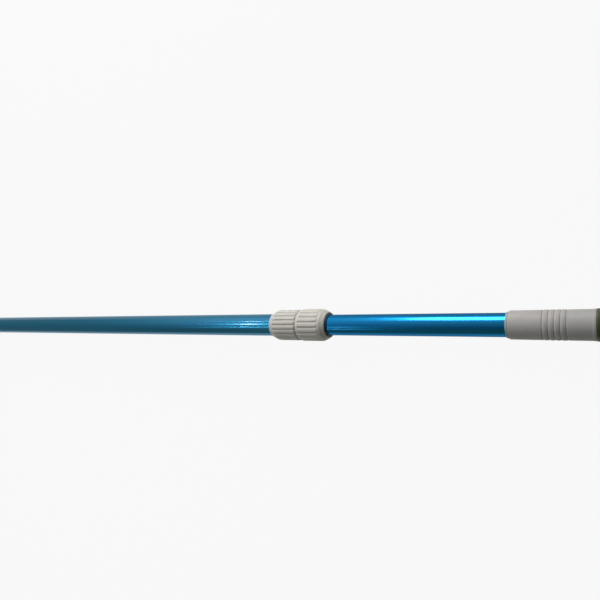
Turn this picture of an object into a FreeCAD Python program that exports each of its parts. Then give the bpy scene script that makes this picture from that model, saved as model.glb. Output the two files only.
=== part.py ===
# Two-section telescopic pole with an external twist lock, a ribbed grip and an end cap.
# Millimetres.  The pole lies along X: the open socket end is at x = 0 and the grip at +X.  +Z is up.
import FreeCAD, Part
import math
import os

Vector = FreeCAD.Vector

# fits, measured on the radius unless the name says otherwise
pressGap = 0.05          # a piece that is glued or pressed on
runningGap = 0.10        # a piece that slides or turns on another
clearGap = 0.35          # pieces that never touch
endGap = 0.30            # along the pole, between pieces that meet end to end

# outer tube
outerDia = 31.75
outerWall = 1.10
outerLength = 1054.0
socketDepth = 140.0      # free length of the socket, up to the rolled bead
beadDepth = 0.85
beadWidth = 6.0
buttonHoleDia = 6.5
buttonHolePlace = 25.4   # from the socket end

# inner tube
innerDia = 28.40
innerWall = 1.20
innerLength = 1000.0
pulledOut = 232.1        # bare inner tube between the lock's mouth and the grip

# lock body, the half that is fixed to the outer tube
tubeSeat = 40.2          # how far the outer tube goes into the body
bodyLength = 45.5
bodyCrestRadius = 21.70
bodyLipWall = 1.0
bodyShoulder = 11.5
bodyRibCount = 20
bodyRibWidth = 4.6
bodyRibHeight = 0.95
bodyRibStart = 7.0
bodyRibEndMargin = 0.9
pipDia = 5.0
pipPlace = 28.0          # of the two locating pips, from the body's lip

# spigot on the body, and the cone in its mouth
spigotLength = 19.5
spigotRadius = 19.0
coneLength = 11.5
coneSmallRadius = 15.60
coneLargeRadius = 17.40

# lock nut, the half that turns
nutGap = 0.6             # between the two halves when the lock is tight
nutLength = 46.1
nutBaseRadius = 21.40
nutRimChamfer = 1.2
nutRibCount = 18
nutRibWidth = 5.4
nutRibHeight = 0.90
nutRibStart = 4.4
nutRibLength = 31.0
nutBand = 3.4            # plain band between the ribs and the taper
nutLipRadius = 17.70
nutLipRound = 0.6
nutTaperBulge = 0.9
bodyRibTurn = -1.0       # angle of the first rib, from +Z, in degrees
nutRibTurn = 10.0
ribCorner = 1.0          # bevel of a rib's ends, seen from above
ribEdge = 0.40           # bevel round a rib's crest
shoulderBulge = 0.45

# collet and slip washer, held in the nut by its inner lip
colletFlangeRadius = 18.60
colletFlange = 3.0
colletSlot = 2.0
colletSlitCount = 6
colletSlit = 1.0
nutInnerLip = 1.2
washerThickness = 1.5

# wiper ring in the nut's mouth
wiperRadius = 16.40
wiperSeat = 7.0
wiperEdge = 1.2          # how far it sits back in the mouth at its outer edge
wiperNose = 1.3          # how far its thin edge stands out of the mouth
wiperNoseWall = 0.35

# tail plug and glide ring, at the inner tube's hidden end
plugStem = 20.0
plugHead = 14.0
plugFlange = 3.0
plugRadius = 13.70
plugNeckRadius = 12.20
glideSlot = 2.5

# grip
gripLength = 92.5
gripFrontRadius = 16.70
gripBackRadius = 17.20
gripLipRadius = 15.45
gripLip = 2.2
gripNeck = 0.9
gripNeckDepth = 0.45
gripShoulder = 1.7
ringCount = 4
ringPitch = 6.1
ringStart = 39.2         # first groove, from the grip's front
ringGroove = 0.75        # groove depth
ringGrooveWidth = 1.1
ringCrown = 0.25         # how far each ring stands out between its grooves
gripBead = 3.6           # width of the raised bead at the back
gripBeadRise = 0.35
gripBeadEdge = 0.8

# end cap
capLength = 11.0
capRadius = 17.90
capEdge = 3.0
capBevel = 0.35
capStem = 24.0
capStemHollow = 9.5
capBulge = 2.6           # how far the cap's shoulder stands out from a straight cone
capFlat = 8.0            # radius of the flat in the middle of the cap's end

# worked out from the above
outerRadius = outerDia / 2
socketRadius = outerRadius - outerWall
innerRadius = innerDia / 2
innerBore = innerRadius - innerWall
bodyStart = outerLength - tubeSeat
bodyEnd = bodyStart + bodyLength
spigotEnd = bodyEnd + spigotLength
nutStart = bodyEnd + nutGap
mouth = nutStart + nutLength
gripStart = mouth + pulledOut
gripEnd = gripStart + gripLength
tubeEnd = gripEnd - endGap
tubeTail = tubeEnd - innerLength
throatRadius = innerRadius + runningGap
coneStart = spigotEnd - coneLength
colletNeckRadius = coneLargeRadius - endGap
lipPlace = spigotEnd + 2 * endGap
pocketStart = lipPlace + nutInnerLip
flangeStart = pocketStart + endGap
flangeEnd = flangeStart + colletFlange
washerStart = flangeEnd + endGap
washerEnd = washerStart + washerThickness
pocketEnd = washerEnd + endGap
pocketRadius = colletFlangeRadius + clearGap
wiperStart = mouth - wiperSeat


def turned(corners):
    # A solid of revolution about the pole's axis, from the (x, radius) corners of half its section.
    section = Part.makePolygon([Vector(x, 0, radius) for x, radius in corners + corners[:1]])
    return Part.Face(section).revolve(Vector(0, 0, 0), Vector(1, 0, 0), 360)


def ring(start, end, inside, outside):
    return turned([(start, inside), (start, outside), (end, outside), (end, inside)])


def around(shape, degrees):
    return shape.rotated(Vector(0, 0, 0), Vector(1, 0, 0), degrees)


def block(start, end, width, low, high):
    return Part.makeBox(end - start, width, high - low, Vector(start, -width / 2, low))


def crossHole(place, diameter, direction):
    reach = direction * outerDia
    return Part.makeCylinder(diameter / 2, 2 * outerDia, Vector(place, 0, 0) - reach, direction)


def bevelledRib(outline, width):
    # One raised rib on top of the pole, from its side outline of (x, height) corners, with its
    # upright corners and then its crest bevelled.
    side = Part.makePolygon([Vector(x, -width / 2, height) for x, height in outline + outline[:1]])
    blank = Part.Face(side).extrude(Vector(0, width, 0))
    upright = [edge for edge in blank.Edges if abs(edge.tangentAt(edge.FirstParameter).z) > 0.99]
    rib = blank.makeChamfer(ribCorner, upright)
    tops = [face for face in rib.Faces if faceNormal(face).z > 0.5]
    sides = [face for face in rib.Faces if abs(faceNormal(face).z) < 0.5]
    rims = [edge for edge in rib.Edges if touches(edge, tops) and touches(edge, sides)]
    return rib.makeChamfer(ribEdge, rims)


def faceNormal(face):
    u0, u1, v0, v1 = face.ParameterRange
    return face.normalAt((u0 + u1) / 2, (v0 + v1) / 2)


def touches(edge, faces):
    return any(edge.isSame(other) for face in faces for other in face.Edges)


def ribbed(core, rib, count, firstTurn):
    ribs = [around(rib, firstTurn + step * 360 / count) for step in range(count)]
    return core.fuse(ribs).removeSplitter()


def outerTube():
    beadFloor = socketDepth + beadWidth / 3
    beadRise = socketDepth + beadWidth * 2 / 3
    beadEnd = socketDepth + beadWidth
    tube = turned([(0, socketRadius), (0, outerRadius), (socketDepth, outerRadius),
                   (beadFloor, outerRadius - beadDepth), (beadRise, outerRadius - beadDepth),
                   (beadEnd, outerRadius), (outerLength, outerRadius), (outerLength, socketRadius),
                   (beadEnd, socketRadius), (beadRise, socketRadius - beadDepth),
                   (beadFloor, socketRadius - beadDepth), (socketDepth, socketRadius)])
    tube = tube.cut(crossHole(buttonHolePlace, buttonHoleDia, Vector(0, 0, 1)))
    return tube.cut(crossHole(bodyStart + pipPlace, pipDia + 2 * pressGap, Vector(0, 1, 0)))


def lockBody():
    seat = outerRadius + pressGap
    lip = seat + bodyLipWall
    base = bodyCrestRadius - bodyRibHeight
    shoulderEnd = bodyStart + bodyShoulder
    shoulderKnee = bodyStart + bodyShoulder / 2
    kneeRadius = (lip + base) / 2 + shoulderBulge
    core = turned([(bodyStart, seat), (bodyStart, lip), (shoulderKnee, kneeRadius),
                   (shoulderEnd, base), (bodyEnd, base), (bodyEnd, spigotRadius),
                   (spigotEnd, spigotRadius), (spigotEnd, coneLargeRadius),
                   (coneStart, coneSmallRadius), (coneStart, throatRadius),
                   (outerLength + pressGap, throatRadius), (outerLength + pressGap, seat)])
    ribStart = bodyStart + bodyRibStart
    ribEnd = bodyEnd - bodyRibEndMargin
    rib = bevelledRib([(ribStart, lip), (ribStart, kneeRadius + bodyRibHeight), (shoulderEnd, bodyCrestRadius),
                       (ribEnd, bodyCrestRadius), (ribEnd, lip)], bodyRibWidth)
    pip = Part.makeCylinder(pipDia / 2, outerWall + bodyLipWall / 2,
                            Vector(bodyStart + pipPlace, socketRadius + pressGap, 0), Vector(0, 1, 0))
    body = ribbed(core, rib, bodyRibCount, bodyRibTurn)
    return body.fuse([pip, around(pip, 180)])


def lockNut():
    bore = spigotRadius + runningGap
    hole = innerRadius + clearGap
    ribStart = nutStart + nutRibStart
    ribEnd = ribStart + nutRibLength
    taperStart = ribEnd + nutBand
    taperEnd = mouth - nutLipRound
    innerLip = colletNeckRadius + clearGap
    core = turned([(nutStart, bore), (nutStart, nutBaseRadius - nutRimChamfer),
                   (nutStart + nutRimChamfer, nutBaseRadius), (taperStart, nutBaseRadius),
                   ((taperStart + taperEnd) / 2, (nutBaseRadius + nutLipRadius) / 2 + nutTaperBulge),
                   (taperEnd, nutLipRadius), (mouth, nutLipRadius - nutLipRound),
                   (mouth, wiperRadius), (wiperStart, wiperRadius), (wiperStart, hole),
                   (pocketEnd, hole), (pocketEnd, pocketRadius), (pocketStart, pocketRadius),
                   (pocketStart, innerLip), (lipPlace, innerLip), (lipPlace, bore)])
    low = nutBaseRadius - nutRibHeight
    high = nutBaseRadius + nutRibHeight
    rib = bevelledRib([(ribStart, low), (ribStart, high), (ribEnd, high), (ribEnd, low)], nutRibWidth)
    return ribbed(core, rib, nutRibCount, nutRibTurn)


def collet():
    start = coneStart + 1.0
    slope = (coneLargeRadius - coneSmallRadius) / coneLength
    tip = coneSmallRadius + slope - endGap
    jaws = turned([(start, throatRadius), (start, tip), (spigotEnd, colletNeckRadius),
                   (flangeStart, colletNeckRadius), (flangeStart, colletFlangeRadius),
                   (flangeEnd, colletFlangeRadius), (flangeEnd, throatRadius)])
    jaws = jaws.cut(block(start - 1, flangeEnd + 1, colletSlot, -2 * outerDia, 0))
    slit = block(start - 1, flangeStart - 1, colletSlit, 0, outerDia)
    turns = [step * 360 / colletSlitCount for step in range(colletSlitCount) if 2 * step != colletSlitCount]
    return jaws.cut([around(slit, turn) for turn in turns])


def slipWasher():
    return ring(washerStart, washerEnd, innerRadius + clearGap, colletFlangeRadius)


def wiperRing():
    seat = wiperRadius - pressGap
    bore = innerRadius + runningGap
    return turned([(wiperStart + pressGap, bore), (wiperStart + pressGap, seat),
                   (mouth - wiperEdge, seat), (mouth + wiperNose, bore + wiperNoseWall),
                   (mouth + wiperNose, bore)])


def innerTube():
    return ring(tubeTail, tubeEnd, innerBore, innerRadius)


def tailPlug():
    stem = innerBore - pressGap
    end = tubeTail - pressGap
    back = end - plugHead
    return turned([(back, 0), (back, plugRadius), (back + plugFlange, plugRadius),
                   (back + plugFlange, plugNeckRadius), (end - plugFlange, plugNeckRadius),
                   (end - plugFlange, plugRadius), (end, plugRadius), (end, stem),
                   (tubeTail + plugStem, stem), (tubeTail + plugStem, 0)])


def glideRing():
    start = tubeTail - pressGap - plugHead + plugFlange + endGap
    end = tubeTail - pressGap - plugFlange - endGap
    whole = ring(start, end, plugNeckRadius + runningGap, socketRadius - runningGap)
    return whole.cut(block(start - 1, end + 1, glideSlot, 0, outerDia))


def gripRadius(place):
    share = (place - gripStart) / gripLength
    return gripFrontRadius + share * (gripBackRadius - gripFrontRadius)


def gripSleeve():
    bore = innerRadius + pressGap
    neckRadius = gripLipRadius - gripNeckDepth
    lipEnd = gripStart + gripLip
    neckEnd = lipEnd + gripNeck
    shoulderEnd = neckEnd + gripShoulder
    shoulderKnee = neckEnd + gripShoulder / 3
    kneeRadius = neckRadius + (gripRadius(shoulderEnd) - neckRadius) * 0.75
    outline = [(gripStart, bore), (gripStart, gripLipRadius - gripNeckDepth),
               (gripStart + gripNeckDepth, gripLipRadius), (lipEnd - gripNeckDepth, gripLipRadius),
               (lipEnd, neckRadius), (neckEnd, neckRadius), (shoulderKnee, kneeRadius),
               (shoulderEnd, gripRadius(shoulderEnd))]
    for step in range(ringCount + 1):
        groove = gripStart + ringStart + step * ringPitch
        left = groove - ringGrooveWidth / 2
        right = groove + ringGrooveWidth / 2
        outline.append((left, gripRadius(left)))
        outline.append((groove, gripRadius(groove) - ringGroove))
        outline.append((right, gripRadius(right)))
        if step < ringCount:
            crown = groove + ringPitch * 0.4
            outline.append((crown, gripRadius(crown) + ringCrown))
    beadStart = gripEnd - gripBead
    outline.append((beadStart, gripRadius(beadStart)))
    outline.append((beadStart + gripBeadEdge, gripBackRadius + gripBeadRise))
    outline.append((gripEnd - gripBeadEdge, gripBackRadius + gripBeadRise))
    outline.append((gripEnd, gripBackRadius))
    outline.append((gripEnd, bore))
    return turned(outline)


def endCap():
    stem = innerBore - pressGap
    start = gripEnd + pressGap
    edge = start + capEdge
    stemEnd = tubeEnd - capStem
    end = start + capLength
    kneeRadius = (capRadius + capFlat) / 2 + capBulge
    return turned([(stemEnd, capStemHollow), (stemEnd, stem), (start, stem), (start, capRadius - capBevel),
                   (start + capBevel, capRadius), (edge, capRadius), ((edge + end) / 2, kneeRadius),
                   (end, capFlat), (end, 0), (edge, 0), (edge, capStemHollow)])


nodes = {
    "outer_tube": outerTube,
    "lock_body": lockBody,
    "lock_nut": lockNut,
    "collet": collet,
    "slip_washer": slipWasher,
    "wiper_ring": wiperRing,
    "inner_tube": innerTube,
    "tail_plug": tailPlug,
    "glide_ring": glideRing,
    "grip_sleeve": gripSleeve,
    "end_cap": endCap,
}

os.makedirs("parts", exist_ok=True)
for name, build in nodes.items():
    shape = build()
    shape.exportStep("parts/" + name + ".step")
    print(name, len(shape.Solids), shape.isValid(), round(shape.Volume / 1000, 2), "cm3")
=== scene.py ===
import math
import bpy
from mathutils import Matrix, Vector


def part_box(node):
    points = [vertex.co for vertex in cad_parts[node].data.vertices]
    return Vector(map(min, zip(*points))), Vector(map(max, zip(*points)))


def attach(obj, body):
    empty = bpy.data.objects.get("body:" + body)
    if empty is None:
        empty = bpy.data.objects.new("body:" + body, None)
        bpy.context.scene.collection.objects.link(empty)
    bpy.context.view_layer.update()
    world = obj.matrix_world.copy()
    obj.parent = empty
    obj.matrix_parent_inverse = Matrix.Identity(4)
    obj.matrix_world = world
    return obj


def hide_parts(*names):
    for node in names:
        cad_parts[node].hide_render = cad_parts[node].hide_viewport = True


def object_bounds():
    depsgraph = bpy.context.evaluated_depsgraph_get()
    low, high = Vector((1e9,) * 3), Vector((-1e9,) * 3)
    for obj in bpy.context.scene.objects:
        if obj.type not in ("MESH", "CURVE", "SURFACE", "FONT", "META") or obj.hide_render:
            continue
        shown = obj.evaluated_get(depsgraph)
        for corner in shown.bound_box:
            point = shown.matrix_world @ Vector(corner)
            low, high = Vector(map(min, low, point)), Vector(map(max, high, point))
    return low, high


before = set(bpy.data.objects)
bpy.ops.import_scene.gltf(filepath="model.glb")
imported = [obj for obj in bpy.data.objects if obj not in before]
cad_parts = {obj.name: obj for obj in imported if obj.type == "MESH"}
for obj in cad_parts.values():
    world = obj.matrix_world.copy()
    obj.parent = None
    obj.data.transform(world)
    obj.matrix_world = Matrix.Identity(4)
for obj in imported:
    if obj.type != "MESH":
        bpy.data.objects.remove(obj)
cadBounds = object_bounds()
mm = 0.001
print("frame loaded:", len(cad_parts), "nodes")


def spanOf(node):
    # where a node starts and ends along the pole
    low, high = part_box(node)
    return low.x, high.x


def radiusOf(node):
    # a node's outer radius
    low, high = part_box(node)
    return (high.y - low.y) / 2


# the places that the dressed pieces are fitted to
bodyStart = spanOf("lock_body")[0]
nutStart, mouth = spanOf("lock_nut")
gripStart, gripEnd = spanOf("grip_sleeve")
capEnd = spanOf("end_cap")[1]
outerRadius = radiusOf("outer_tube")
innerRadius = radiusOf("inner_tube")


def smoothStep(value):
    value = min(1.0, max(0.0, value))
    return value * value * (3 - 2 * value)


def along(stops, place):
    # height of a line through (place, height) stops
    for (x0, r0), (x1, r1) in zip(stops, stops[1:]):
        if place <= x1:
            share = (place - x0) / (x1 - x0)
            return r0 + (r1 - r0) * min(1.0, max(0.0, share))
    return stops[-1][1]


def addMesh(name, vertices, faces, smooth=True):
    mesh = bpy.data.meshes.new(name)
    mesh.from_pydata(vertices, [], faces)
    mesh.validate()
    mesh.polygons.foreach_set("use_smooth", [smooth] * len(mesh.polygons))
    piece = bpy.data.objects.new(name, mesh)
    bpy.context.scene.collection.objects.link(piece)
    return piece


def pointAt(x, radius, turn):
    # a point by its place along the pole, its radius and its turn from the top
    return x, -radius * math.sin(turn), radius * math.cos(turn)


def ringAt(x, radius, around):
    # a ring of points round the pole's axis, or one point on it
    count = around if radius > 0 else 1
    return [pointAt(x, radius, 2 * math.pi * step / around) for step in range(count)]


def joinRings(rings):
    # faces from each ring to the next and from the last to the first; a ring of one point gives triangles
    faces = []
    for ring, nextRing in zip(rings, rings[1:] + rings[:1]):
        for step in range(len(ring)):
            nextStep = (step + 1) % len(ring)
            face = dict.fromkeys((ring[step], ring[nextStep], nextRing[nextStep], nextRing[step]))
            if len(face) > 2:
                faces.append(list(face))
    return faces


def roundOff(corners, steps):
    # a section's line with its corners rounded: a corner is (x, radius) or (x, radius, rounding)
    outline = []
    count = len(corners)
    for index, corner in enumerate(corners):
        here = Vector(corner[:2])
        rounding = corner[2] if len(corner) > 2 else 0
        if rounding <= 0:
            outline.append(tuple(here))
            continue
        before = Vector(corners[index - 1][:2]) - here
        after = Vector(corners[(index + 1) % count][:2]) - here
        reach = min(rounding, before.length * 0.49, after.length * 0.49)
        start = here + before.normalized() * reach
        end = here + after.normalized() * reach
        for step in range(steps + 1):
            t = step / steps
            outline.append(tuple(start * (1 - t) ** 2 + here * 2 * t * (1 - t) + end * t * t))
    return outline


def turnPiece(name, corners, steps, around=128):
    # a piece of revolution about the pole's axis
    vertices = []
    rings = []
    for x, radius in roundOff(corners, steps):
        points = ringAt(x, radius, around)
        rings.append([len(vertices) + step % len(points) for step in range(around)])
        vertices += points
    return addMesh(name, vertices, joinRings(rings))


def ribLift(form, start, end, x, turn, radius):
    # share of the full rib height at a point: a rounded plan with soft edges
    pitch = 2 * math.pi / form["count"]
    offset = (turn - math.radians(form["firstTurn"]) + pitch / 2) % pitch - pitch / 2
    sideways = abs(offset) * radius - form["width"] / 2 + form["corner"]
    endways = abs(x - (start + end) / 2) - (end - start) / 2 + form["corner"]
    outside = math.hypot(max(sideways, 0), max(endways, 0)) + min(max(sideways, endways), 0)
    inside = form["corner"] - outside
    return smoothStep(inside / form["edge"] * 0.5 + 0.5)


ribMesh = {"perRib": 26, "coarse": 0.9 * mm, "fine": 0.3 * mm, "fineReach": 2.5 * mm,
           "grooveFade": 2.0 * mm}


def rowPlaces(start, end, ribStart, ribEnd):
    # rows along the pole, close together near the ribs' ends
    places = [start]
    while places[-1] < end - ribMesh["coarse"] * 0.5:
        near = min(abs(places[-1] - ribStart), abs(places[-1] - ribEnd)) < ribMesh["fineReach"]
        places.append(min(end, places[-1] + ribMesh["fine" if near else "coarse"]))
    places[-1] = end
    return places


def ribbedPiece(name, form, ribStart, ribEnd, outside, inner):
    # outside: (x, radius) stops of the surface under the ribs; inner: corners that close the section
    around = form["count"] * ribMesh["perRib"]
    fade = ribMesh["grooveFade"]
    vertices = []
    # the groove mask marks where painted shade darkens the grooves between the ribs
    groove = []  # 1 between two ribs, 0 on a rib and away from them
    for x in rowPlaces(outside[0][0], outside[-1][0], ribStart, ribEnd):
        base = along(outside, x)
        zone = smoothStep((x - ribStart) / fade + 0.5) * smoothStep((ribEnd - x) / fade + 0.5)
        for step in range(around):
            turn = 2 * math.pi * step / around
            share = ribLift(form, ribStart, ribEnd, x, turn, base)
            vertices.append(pointAt(x, base + share * form["height"], turn))
            groove.append((1 - share) * zone)
    for x, radius in inner:
        vertices += ringAt(x, radius, around)
        groove += [0.0] * around
    rings = [range(first, first + around) for first in range(0, len(vertices), around)]
    piece = addMesh(name, vertices, joinRings(rings))
    grooveShade = piece.data.attributes.new("groove", "FLOAT", "POINT")
    grooveShade.data.foreach_set("value", groove)
    return piece


bodyForm = {
    # ribs
    "count": 20, "firstTurn": -1.0, "width": 4.1 * mm, "height": 0.95 * mm, "corner": 1.6 * mm,
    "edge": 0.8 * mm, "ribStart": 7.6 * mm, "endMargin": 0.8 * mm,
    # the surface under them, from the lip at the front to the joint with the nut
    "fit": 0.05 * mm, "inset": 0.03 * mm, "lipWidth": 0.7 * mm, "lipFront": 0.75 * mm,
    "lipRise": 1.35 * mm, "lipRound": 0.5 * mm, "slope": 5.0 * mm, "slopeRise": 3.2 * mm,
    "shoulder": 11.0 * mm, "shoulderRound": 3.0 * mm, "endRound": 0.5 * mm, "endDrop": 0.45 * mm,
    "jointGap": 0.6 * mm, "spigot": 18.95 * mm,
}


def makeLockBody():
    # the half that is fixed to the outer tube: a sloping shoulder, long ribs and a plain spigot
    form = bodyForm
    seat = outerRadius + form["fit"]
    base = radiusOf("lock_body") - form["height"] - form["inset"]
    end = nutStart - form["jointGap"]
    spigotEnd = spanOf("lock_body")[1]
    line = [(bodyStart, seat + form["lipFront"]),
            (bodyStart + form["lipWidth"], seat + form["lipRise"], form["lipRound"]),
            (bodyStart + form["slope"], seat + form["slopeRise"], form["shoulderRound"]),
            (bodyStart + form["shoulder"], base, form["shoulderRound"]),
            (end - form["endRound"], base, form["endRound"]), (end, base - form["endDrop"])]
    inner = [(end, form["spigot"]), (spigotEnd, form["spigot"]), (spigotEnd, seat), (bodyStart, seat)]
    return ribbedPiece("lock_body_shell", form, bodyStart + form["ribStart"], end - form["endMargin"],
                       roundOff(line, steps=6), inner)


nutForm = {
    # ribs
    "count": 18, "firstTurn": 10.0, "width": 4.7 * mm, "height": 0.90 * mm, "corner": 1.5 * mm,
    "edge": 0.8 * mm, "ribStart": 4.4 * mm, "ribLength": 31.0 * mm,
    # the surface under them, from the joint with the body to the rim
    "inset": 0.03 * mm, "front": 1.2 * mm, "frontDrop": 1.0 * mm, "frontRound": 0.8 * mm,
    "band": 2.6 * mm, "bandRound": 1.6 * mm, "taper": 4.0 * mm, "taperDrop": 1.9 * mm,
    "taperRound": 3.0 * mm, "rimBack": 1.2 * mm, "rimRound": 0.7 * mm, "rimOuter": 17.9 * mm,
    "rimFace": 17.2 * mm, "faceRound": 0.4 * mm, "rimInner": 16.6 * mm,
    # the inside, from the mouth back to the thread
    "chamfer": 0.4 * mm, "mouthBore": 16.4 * mm, "mouthDepth": 6.0 * mm, "lipBore": 14.6 * mm,
    "thread": 19.1 * mm, "threadDepth": 25.0 * mm,
}


def makeLockNut():
    # the half that turns: a plain front, ribs with rounded ends, a band and a taper to the mouth
    form = nutForm
    base = radiusOf("lock_nut") - form["height"] - form["inset"]
    ribStart = nutStart + form["ribStart"]
    ribEnd = ribStart + form["ribLength"]
    rim = mouth - form["rimBack"]
    threadEnd = nutStart + form["threadDepth"]
    mouthEnd = rim - form["mouthDepth"]
    line = [(nutStart, base - form["frontDrop"]), (nutStart + form["front"], base, form["frontRound"]),
            (ribEnd + form["band"], base, form["bandRound"]),
            (rim - form["taper"], base - form["taperDrop"], form["taperRound"]),
            (rim - form["rimRound"], form["rimOuter"], form["rimRound"]),
            (rim, form["rimFace"], form["faceRound"]), (rim, form["rimInner"])]
    inner = [(rim - form["chamfer"], form["mouthBore"]), (mouthEnd, form["mouthBore"]),
             (mouthEnd, form["lipBore"]), (threadEnd, form["lipBore"]), (threadEnd, form["thread"]),
             (nutStart, form["thread"])]
    return ribbedPiece("lock_nut_shell", form, ribStart, ribEnd, roundOff(line, steps=6), inner)


gripForm = {
    # radii at the two ends, and the fit on the tube
    "front": 16.70 * mm, "back": 17.18 * mm, "fit": 0.05 * mm,
    # lip, neck and shoulder at the front
    "lip": 15.43 * mm, "lipWidth": 2.2 * mm, "lipFrontRound": 0.5 * mm, "lipBackRound": 0.4 * mm,
    "step": 0.1 * mm, "neck": 14.95 * mm, "neckWidth": 0.9 * mm, "neckStartRound": 0.2 * mm,
    "neckEndRound": 0.3 * mm, "shoulder": 1.4 * mm, "shoulderRound": 1.2 * mm,
    # grooves with crowned rings between them
    "firstGroove": 39.2 * mm, "pitch": 6.1 * mm, "rings": 4, "groove": 0.75 * mm,
    "grooveWidth": 1.1 * mm, "grooveRound": 0.35 * mm, "crown": 0.34 * mm, "crownShare": 0.4,
    "crownRound": 1.5 * mm,
    # bead at the back
    "bead": 3.6 * mm, "beadRise": 0.33 * mm, "beadFoot": 0.3 * mm, "beadSlope": 0.7 * mm,
    "beadRound": 0.5 * mm,
}


def makeGrip():
    # a collar with a small lip, a plain stretch, ribbed rings and a raised bead at the back
    form = gripForm
    bore = innerRadius + form["fit"]

    def radiusAt(place):
        share = (place - gripStart) / (gripEnd - gripStart)
        return form["front"] + share * (form["back"] - form["front"])

    lipEnd = gripStart + form["lipWidth"]
    neckEnd = lipEnd + form["neckWidth"]
    shoulderEnd = neckEnd + form["shoulder"]
    corners = [(gripStart, bore), (gripStart, form["lip"], form["lipFrontRound"]),
               (lipEnd, form["lip"], form["lipBackRound"]),
               (lipEnd + form["step"], form["neck"], form["neckStartRound"]),
               (neckEnd, form["neck"], form["neckEndRound"]),
               (neckEnd + form["step"], radiusAt(neckEnd) - form["step"], form["shoulderRound"]),
               (shoulderEnd, radiusAt(shoulderEnd))]
    for step in range(form["rings"] + 1):
        groove = gripStart + form["firstGroove"] + step * form["pitch"]
        left = groove - form["grooveWidth"] / 2
        right = groove + form["grooveWidth"] / 2
        corners.append((left, radiusAt(left), form["grooveRound"]))
        corners.append((groove, radiusAt(groove) - form["groove"], form["grooveRound"]))
        corners.append((right, radiusAt(right), form["grooveRound"]))
        if step < form["rings"]:
            crown = groove + form["pitch"] * form["crownShare"]
            corners.append((crown, radiusAt(crown) + form["crown"], form["crownRound"]))
    beadStart = gripEnd - form["bead"]
    beadTop = form["back"] + form["beadRise"]
    corners += [(beadStart, radiusAt(beadStart), form["beadFoot"]),
                (beadStart + form["beadSlope"], beadTop, form["beadRound"]),
                (gripEnd - form["beadRound"], beadTop, form["beadRound"]),
                (gripEnd, form["back"]), (gripEnd, bore)]
    return turnPiece("grip_skin", corners, steps=4, around=160)


capForm = {
    "fit": 0.05 * mm, "stemGap": 1.25 * mm, "stemRound": 0.5 * mm, "bore": 9.5 * mm,
    "rimRound": 0.4 * mm, "edge": 3.0 * mm, "edgeRound": 1.5 * mm, "dome": 2.2 * mm,
    "domeRound": 3.5 * mm, "flat": 9.0 * mm, "flatRound": 3.0 * mm, "inset": 0.1 * mm,
}


def makeCap():
    # a push-in cap: straight edge, rounded shoulder and a nearly flat end
    form = capForm
    radius = radiusOf("end_cap")
    stemStart = spanOf("end_cap")[0]
    stem = innerRadius - form["stemGap"]
    start = gripEnd + form["fit"]
    edge = start + form["edge"]
    back = capEnd - form["inset"]
    corners = [(stemStart, form["bore"]), (stemStart, stem, form["stemRound"]), (start, stem),
               (start, radius, form["rimRound"]), (edge, radius, form["edgeRound"]),
               ((start + capEnd) / 2 + form["dome"], radius - form["dome"], form["domeRound"]),
               (back, form["flat"], form["flatRound"]), (back, 0), (edge, 0), (edge, form["bore"])]
    return turnPiece("cap_skin", corners, steps=7)


wiperForm = {"fit": 0.1 * mm, "tuck": 0.6 * mm, "tip": 0.2 * mm, "tipHeight": 1.1 * mm,
             "round": 0.5 * mm}


def makeWiper():
    # a thin rubber lip that stands out of the nut's mouth
    form = wiperForm
    start, end = spanOf("wiper_ring")
    radius = radiusOf("wiper_ring")
    bore = innerRadius + form["fit"]
    corners = [(start, bore), (start, radius), (mouth - form["tuck"], radius, form["round"]),
               (end - form["tip"], bore + form["tipHeight"], form["round"]), (end, bore)]
    return turnPiece("wiper_skin", corners, steps=4)


def newMaterial(name):
    material = bpy.data.materials.new(name)
    material.use_nodes = True
    return material, material.node_tree.nodes, material.node_tree.links


def colour(red, green, blue):
    return (red, green, blue, 1.0)


def mixColours(nodes, links, factor, first, second):
    # each of the two is a tone or another node's output; 6, 7 and 2 are the node's colour sockets
    mix = nodes.new("ShaderNodeMix")
    mix.data_type = "RGBA"
    links.new(factor, mix.inputs["Factor"])
    for value, socket in ((first, mix.inputs[6]), (second, mix.inputs[7])):
        if isinstance(value, tuple):
            socket.default_value = colour(*value)
        else:
            links.new(value, socket)
    return mix.outputs[2]


def maths(nodes, links, operation, *values):
    # each value is a number with a decimal point or another node's output
    result = nodes.new("ShaderNodeMath")
    result.operation = operation
    for value, socket in zip(values, result.inputs):
        if isinstance(value, float):
            socket.default_value = value
        else:
            links.new(value, socket)
    return result.outputs[0]


def noise(nodes, links, vector, scale, detail, roughness):
    texture = nodes.new("ShaderNodeTexNoise")
    texture.inputs["Scale"].default_value = scale
    texture.inputs["Detail"].default_value = detail
    texture.inputs["Roughness"].default_value = roughness
    links.new(vector, texture.inputs["Vector"])
    return texture.outputs["Fac"]


# noise patterns: scale along and across the pole, detail, roughness
patterns = {"drawingLines": ((0.6, 900, 900), 2.0, 0.6), "coarseLines": ((0.4, 260, 260), 1.0, 0.5),
            "clouding": ((6, 25, 25), 4.0, 0.6), "flow": ((35, 60, 60), 4.0, 0.6),
            "mottle": ((40, 70, 70), 5.0, 0.65)}


def pattern(nodes, links, place, name):
    scale, detail, roughness = patterns[name]
    mapping = nodes.new("ShaderNodeMapping")
    mapping.inputs["Scale"].default_value = scale
    links.new(place, mapping.inputs["Vector"])
    return noise(nodes, links, mapping.outputs["Vector"], 1.0, detail, roughness)


def ranged(nodes, links, value, low, high, newLow, newHigh):
    change = nodes.new("ShaderNodeMapRange")
    change.inputs["From Min"].default_value = low
    change.inputs["From Max"].default_value = high
    change.inputs["To Min"].default_value = newLow
    change.inputs["To Max"].default_value = newHigh
    links.new(value, change.inputs["Value"])
    return change.outputs["Result"]


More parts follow.
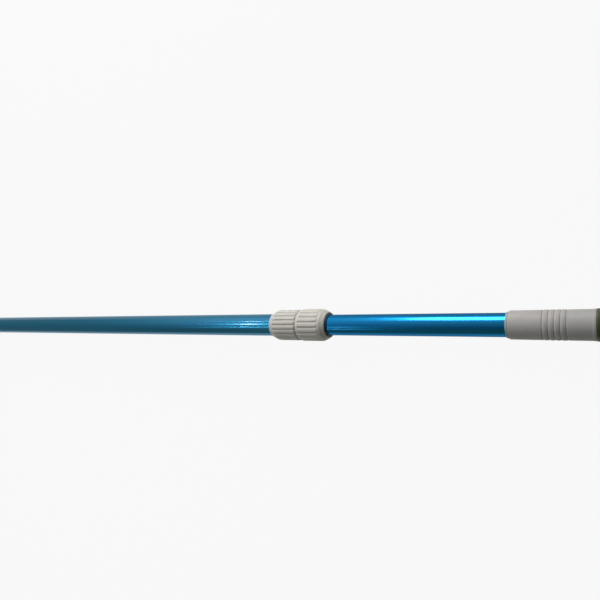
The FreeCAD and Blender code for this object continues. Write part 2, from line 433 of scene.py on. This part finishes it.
def tintAlong(nodes, links, place, tone, start, end, tint, most=1.0):
    # the tone turns to the tint between two places along the pole
    split = nodes.new("ShaderNodeSeparateXYZ")
    links.new(place, split.inputs["Vector"])
    share = ranged(nodes, links, split.outputs["X"], start, end, 0.0, most)
    return mixColours(nodes, links, share, tone, tint)


def blendTones(nodes, links, value, low, high, first, second):
    # the first tone where the value is low, the second where it is high
    return mixColours(nodes, links, ranged(nodes, links, value, low, high, 0.0, 1.0), first, second)


# how strong and how deep the fine relief of each surface is
relief = {"anodised": (0.35, 0.04 * mm), "moulded": (0.12, 0.03 * mm), "soft": (0.2, 0.03 * mm)}


def addRelief(nodes, links, height, surface):
    bump = nodes.new("ShaderNodeBump")
    bump.inputs["Strength"].default_value, bump.inputs["Distance"].default_value = relief[surface]
    links.new(height, bump.inputs["Height"])
    links.new(bump.outputs["Normal"], nodes["Principled BSDF"].inputs["Normal"])


# painted shade: the outer tube gets darker towards the open end: where it begins, where it is full, its
# tone
anodised = {
    "outer": {"base": (0.009, 0.155, 0.275), "dull": (0.014, 0.155, 0.250), "rough": (0.15, 0.22),
              "coat": 0.6, "coatRough": 0.07, "shadeToOpenEnd": (0.92, 0.52, (0.008, 0.130, 0.210))},
    "inner": {"base": (0.003, 0.140, 0.320), "dull": (0.004, 0.125, 0.280), "rough": (0.18, 0.26),
              "coat": 0.15, "coatRough": 0.10},
    "specularTint": (0.3, 0.5, 0.6), "coarseShare": 1.6,
}


def anodisedMaterial(name, look):
    # dyed aluminium: drawing lines that run along the tube, slight clouding and a thin clear oxide
    material, nodes, links = newMaterial(name)
    shader = nodes["Principled BSDF"]
    place = nodes.new("ShaderNodeTexCoord").outputs["Object"]
    lines = pattern(nodes, links, place, "drawingLines")
    coarse = pattern(nodes, links, place, "coarseLines")
    cloud = pattern(nodes, links, place, "clouding")
    tone = blendTones(nodes, links, cloud, 0.35, 0.7, look["base"], look["dull"])
    # painted shade towards the outer tube's open end
    if "shadeToOpenEnd" in look:
        tone = tintAlong(nodes, links, place, tone, *look["shadeToOpenEnd"])
    links.new(tone, shader.inputs["Base Color"])
    links.new(ranged(nodes, links, lines, 0.3, 0.7, *look["rough"]), shader.inputs["Roughness"])
    addRelief(nodes, links, maths(nodes, links, "MULTIPLY_ADD", coarse, anodised["coarseShare"], lines),
              "anodised")
    shader.inputs["Metallic"].default_value = 1.0
    shader.inputs["Coat Weight"].default_value = look["coat"]
    shader.inputs["Coat Roughness"].default_value = look["coatRough"]
    shader.inputs["Specular Tint"].default_value = colour(*anodised["specularTint"])
    return material


lockPlastic = {
    "pale": (0.580, 0.555, 0.515), "warm": (0.540, 0.503, 0.440), "rough": (0.42, 0.56), "grain": 2600.0,
    # painted shade: the tone in the grooves between two ribs
    "groove": (0.42, 0.385, 0.325),  # the tone between two ribs
    # painted reflection of the blue tube on the body's front lip: where it begins, where it is full, its
    # tone, its share
    "lip": (bodyStart + 6.0 * mm, bodyStart + 3.5 * mm, (0.40, 0.49, 0.56), 0.85),
}


def lockMaterial(name, look):
    # moulded plastic, with painted shade in the grooves between the ribs
    material, nodes, links = newMaterial(name)
    shader = nodes["Principled BSDF"]
    place = nodes.new("ShaderNodeTexCoord").outputs["Object"]
    flow = pattern(nodes, links, place, "flow")
    groove = nodes.new("ShaderNodeAttribute")
    groove.attribute_name = "groove"
    tone = blendTones(nodes, links, flow, 0.35, 0.7, look["pale"], look["warm"])
    # painted reflection of the blue tube on the body's front lip
    tone = tintAlong(nodes, links, place, tone, *look["lip"])
    # painted shade in the grooves between the ribs
    tone = blendTones(nodes, links, groove.outputs["Fac"], 0.2, 1.0, tone, look["groove"])
    links.new(tone, shader.inputs["Base Color"])
    links.new(ranged(nodes, links, flow, 0.3, 0.7, *look["rough"]), shader.inputs["Roughness"])
    addRelief(nodes, links, noise(nodes, links, place, look["grain"], 2.0, 0.6), "moulded")
    return material


def softMaterial(name, look):
    # vinyl, rubber and plain plastics: a mottled tone with a fine moulded grain
    material, nodes, links = newMaterial(name)
    shader = nodes["Principled BSDF"]
    place = nodes.new("ShaderNodeTexCoord").outputs["Object"]
    mottle = pattern(nodes, links, place, "mottle")
    tone = blendTones(nodes, links, mottle, 0.3, 0.7, look["pale"], look["dark"])
    # tints of painted shade and painted reflection along the pole
    for tint in look.get("paintedLightTints", ()):
        tone = tintAlong(nodes, links, place, tone, *tint)
    links.new(tone, shader.inputs["Base Color"])
    links.new(ranged(nodes, links, mottle, 0.3, 0.7, *look["rough"]), shader.inputs["Roughness"])
    shader.inputs["Specular IOR Level"].default_value = look["shine"]
    addRelief(nodes, links, noise(nodes, links, place, look["grain"], 3.0, 0.6), "soft")
    return material


# a tint of painted light and shade is between two places along the pole: where it begins, where it is
# full, its tone, its share
soft = {
    "nylon": {"pale": (0.74, 0.73, 0.69), "dark": (0.68, 0.66, 0.60), "rough": (0.35, 0.50),
              "grain": 1500, "shine": 0.5},
    # black rubber whose dark teal tone also paints the shade inside the nut's mouth
    "wiper": {"pale": (0.012, 0.028, 0.034), "dark": (0.010, 0.020, 0.025), "rough": (0.50, 0.70),
              "grain": 1800, "shine": 0.5},
    "plug": {"pale": (0.020, 0.020, 0.020), "dark": (0.030, 0.030, 0.030), "rough": (0.40, 0.55),
             "grain": 1500, "shine": 0.5},
    "grip": {"pale": (0.415, 0.385, 0.370), "dark": (0.355, 0.325, 0.310), "rough": (0.50, 0.64),
             "grain": 2200, "shine": 0.5,
             # painted shade: the back of the grip is darker
             "paintedLightTints": ((gripStart + 46 * mm, gripStart + 74 * mm, (0.325, 0.305, 0.292), 0.85),
                       # painted reflection of the blue tube on the grip's front lip
                       (gripStart + 2.4 * mm, gripStart + 2.0 * mm, (0.26, 0.41, 0.43), 0.9))},
    "cap": {"pale": (0.056, 0.066, 0.026), "dark": (0.040, 0.047, 0.020), "rough": (0.42, 0.60),
            "grain": 1600, "shine": 0.35},
}

finishes = {"outer": anodisedMaterial("blueAnodisedOuter", anodised["outer"]),
            "inner": anodisedMaterial("blueAnodisedInner", anodised["inner"]),
            "lock": lockMaterial("warmGreyPlastic", lockPlastic)}
for finish, name in (("nylon", "naturalNylon"), ("wiper", "blackRubberMouthShade"), ("plug", "blackPlastic"),
                     ("grip", "greyVinyl"), ("cap", "oliveRubber")):
    finishes[finish] = softMaterial(name, soft[finish])


def dress(piece, finish):
    piece.data.materials.clear()
    piece.data.materials.append(finishes[finish])


nodeFinishes = {"outer_tube": "outer", "inner_tube": "inner", "lock_body": "lock", "lock_nut": "lock",
                "collet": "nylon", "slip_washer": "nylon", "wiper_ring": "wiper", "tail_plug": "plug",
                "glide_ring": "nylon", "grip_sleeve": "grip", "end_cap": "cap"}
for node, finish in nodeFinishes.items():
    dress(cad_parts[node], finish)
print("materials made:", len(finishes))


def smoothNode(node):
    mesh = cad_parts[node].data
    mesh.polygons.foreach_set("use_smooth", [True] * len(mesh.polygons))


def fitPiece(piece, finish, body, node):
    # dresses a made piece, which moves with a body in the place of a node
    dress(piece, finish)
    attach(piece, body)
    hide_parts(node)


smoothNode("outer_tube")
smoothNode("inner_tube")
fitPiece(makeLockBody(), "lock", "pole_base", "lock_body")
fitPiece(makeLockNut(), "lock", "twist_nut", "lock_nut")
fitPiece(makeWiper(), "wiper", "twist_nut", "wiper_ring")
print("twist lock made")
fitPiece(makeGrip(), "grip", "inner_pole", "grip_sleeve")
fitPiece(makeCap(), "cap", "inner_pole", "end_cap")
print("grip and end cap made")


view = {"tilt": 32.0, "around": 100.0, "distance": 0.797, "below": 0.0354, "lens": 33.72,
        "aimPlace": nutStart - 3.5 * mm, "dip": 2.55, "clip": (0.05, 50)}


def setUp(source, spot, right, up, back):
    # puts a camera or lamp at a spot, with its own three directions
    source.matrix_world = Matrix.Translation(spot) @ Matrix((right, up, back)).transposed().to_4x4()
    bpy.context.scene.collection.objects.link(source)


def makeCamera():
    # the pole lies level across the view, its grip end nearer to the camera
    tilt = math.radians(view["tilt"])
    around = math.radians(view["around"])
    dip = math.radians(view["dip"])
    axis = Vector((1, 0, 0))
    near = Vector((0, -math.cos(around), math.sin(around)))
    across = near.cross(axis)
    right = axis * math.cos(tilt) - near * math.sin(tilt)
    levelBack = axis * math.sin(tilt) + near * math.cos(tilt)
    up = across * math.cos(dip) + levelBack * math.sin(dip)
    back = levelBack * math.cos(dip) - across * math.sin(dip)
    lens = bpy.data.cameras.new("camera")
    lens.lens = view["lens"]
    lens.clip_start, lens.clip_end = view["clip"]
    camera = bpy.data.objects.new("camera", lens)
    spot = Vector((view["aimPlace"], 0, 0)) + up * view["below"] + back * view["distance"]
    setUp(camera, spot, right, up, back)
    bpy.context.scene.camera = camera


def seenShare(nodes, links, inMetal):
    # 1 for what is seen directly or through something, and a share for what shows in metal
    rays = nodes.new("ShaderNodeLightPath").outputs
    direct = maths(nodes, links, "MULTIPLY_ADD", rays["Is Glossy Ray"], inMetal, rays["Is Camera Ray"])
    return maths(nodes, links, "MAXIMUM", direct, rays["Is Transmission Ray"])


# how far the floor reaches, its tone and roughness as a lit surface, and how much of it is plain white
ground = {"reach": 12.0, "tone": (0.5, 0.5, 0.5), "rough": 0.9, "whiteShare": 0.92}


def makeFloor():
    low = cadBounds[0].z
    reach = ground["reach"]
    corners = [(x * reach, y * reach, low) for x, y in ((-1, -1), (1, -1), (1, 1), (-1, 1))]
    floor = addMesh("floor", corners, [(0, 1, 2, 3)], smooth=False)
    material, nodes, links = newMaterial("paleFloor")
    shader = nodes["Principled BSDF"]
    shader.inputs["Base Color"].default_value = colour(*ground["tone"])
    shader.inputs["Roughness"].default_value = ground["rough"]
    shader.inputs["Specular IOR Level"].default_value = 0.0
    glow = nodes.new("ShaderNodeEmission")
    glow.inputs["Color"].default_value = colour(1, 1, 1)
    glow.inputs["Strength"].default_value = 1.0
    blend = nodes.new("ShaderNodeMixShader")
    share = maths(nodes, links, "MULTIPLY", seenShare(nodes, links, 1.0), ground["whiteShare"])
    links.new(share, blend.inputs[0])
    links.new(shader.outputs["BSDF"], blend.inputs[1])
    links.new(glow.outputs["Emission"], blend.inputs[2])
    links.new(blend.outputs["Shader"], nodes["Material Output"].inputs["Surface"])
    floor.data.materials.append(material)


white = (1.0, 1.0, 1.0)
warm = (1.0, 0.80, 0.78)
slightlyWarm = (1.0, 0.85, 0.85)
# where each lamp is from the lock, its size, its power and its tone
lamps = {
    "window": ((-0.26, 1.90, 0.50), (0.62, 1.20), 31.0, white),
    "paneHigh": ((-1.25, -0.34, 1.54), (0.09, 0.34), 4.2, warm),
    "paneMiddle": ((-1.27, 0.48, 1.50), (0.09, 0.36), 1.5, warm),
    "paneLow": ((-1.25, 1.17, 1.06), (0.08, 0.16), 0.62, slightlyWarm),
    "farPaneHigh": ((-0.92, -0.58, 1.68), (0.20, 0.14), 0.75, slightlyWarm),
    "farPaneLow": ((-0.92, -1.10, 1.40), (0.20, 0.14), 0.75, slightlyWarm),
}


def makeLamps():
    # each lamp faces the lock
    aim = Vector((nutStart, 0, 0))
    for name, (offset, size, power, tone) in lamps.items():
        light = bpy.data.lights.new(name, "AREA")
        light.shape = "RECTANGLE"
        light.size, light.size_y = size
        light.energy = power
        light.color = tone
        back = Vector(offset).normalized()
        side = (Vector((1, 0, 0)) - back * back.x).normalized()
        setUp(bpy.data.objects.new(name, light), aim + Vector(offset), side, back.cross(side), back)


# the room's tone by direction: across the pole and along it, each from -1 to 1
room = {"across": ((-1.0, (0.28, 0.28, 0.18)), (-0.6, (0.185, 0.21, 0.175)), (-0.25, (0.165, 0.21, 0.24)),
                   (0.1, (0.41, 0.45, 0.515)), (0.4, (0.78, 0.82, 0.885)), (0.75, (1.05, 1.05, 1.05))),
        "along": ((-1.0, (0.60, 0.72, 0.75)), (-0.79, (0.70, 0.84, 0.86)), (-0.68, (0.95, 1.05, 1.10)),
                  (-0.60, (1.20, 1.36, 1.58)), (-0.45, (1.0, 1.10, 1.10)), (-0.18, (0.95, 0.95, 0.85)),
                  (0.15, (0.10, 0.10, 0.10))),
        # towards the open end the room is one even tone: where it begins, where it is reached, its share
        "even": (0.28, 0.51, 0.555), "evenFrom": -0.66, "evenTo": -0.80, "evenShare": 0.7,
        # what is seen past the floor's edge, and how much of it the metal shows
        "beyond": (0.94, 0.94, 0.94), "beyondInMetal": 0.08}


def addRamp(nodes, links, value, tones):
    ramp = nodes.new("ShaderNodeValToRGB")
    stops = ramp.color_ramp.elements
    while len(stops) < len(tones):
        stops.new(0.5)
    for stop, (direction, tone) in zip(stops, tones):
        stop.position = direction / 2 + 0.5
        stop.color = colour(*tone)
    links.new(ranged(nodes, links, value, -1.0, 1.0, 0.0, 1.0), ramp.inputs["Fac"])
    return ramp.outputs["Color"]


def makeRoom():
    world = bpy.data.worlds.new("studio")
    bpy.context.scene.world = world
    world.use_nodes = True
    nodes = world.node_tree.nodes
    links = world.node_tree.links
    direction = nodes.new("ShaderNodeSeparateXYZ")
    links.new(nodes.new("ShaderNodeTexCoord").outputs["Generated"], direction.inputs["Vector"])
    across = addRamp(nodes, links, direction.outputs["Y"], room["across"])
    lengthways = addRamp(nodes, links, direction.outputs["X"], room["along"])
    product = nodes.new("ShaderNodeVectorMath")
    product.operation = "MULTIPLY"
    links.new(across, product.inputs[0])
    links.new(lengthways, product.inputs[1])
    evenShare = ranged(nodes, links, direction.outputs["X"], room["evenFrom"], room["evenTo"],
                       0.0, room["evenShare"])
    walls = mixColours(nodes, links, evenShare, product.outputs["Vector"], room["even"])
    seen = seenShare(nodes, links, room["beyondInMetal"])
    tone = mixColours(nodes, links, seen, walls, room["beyond"])
    links.new(tone, nodes["Background"].inputs["Color"])


makeCamera()
makeFloor()
makeLamps()
makeRoom()
bpy.context.scene.view_settings.view_transform = "Standard"
print("camera, floor, lamps and room made")
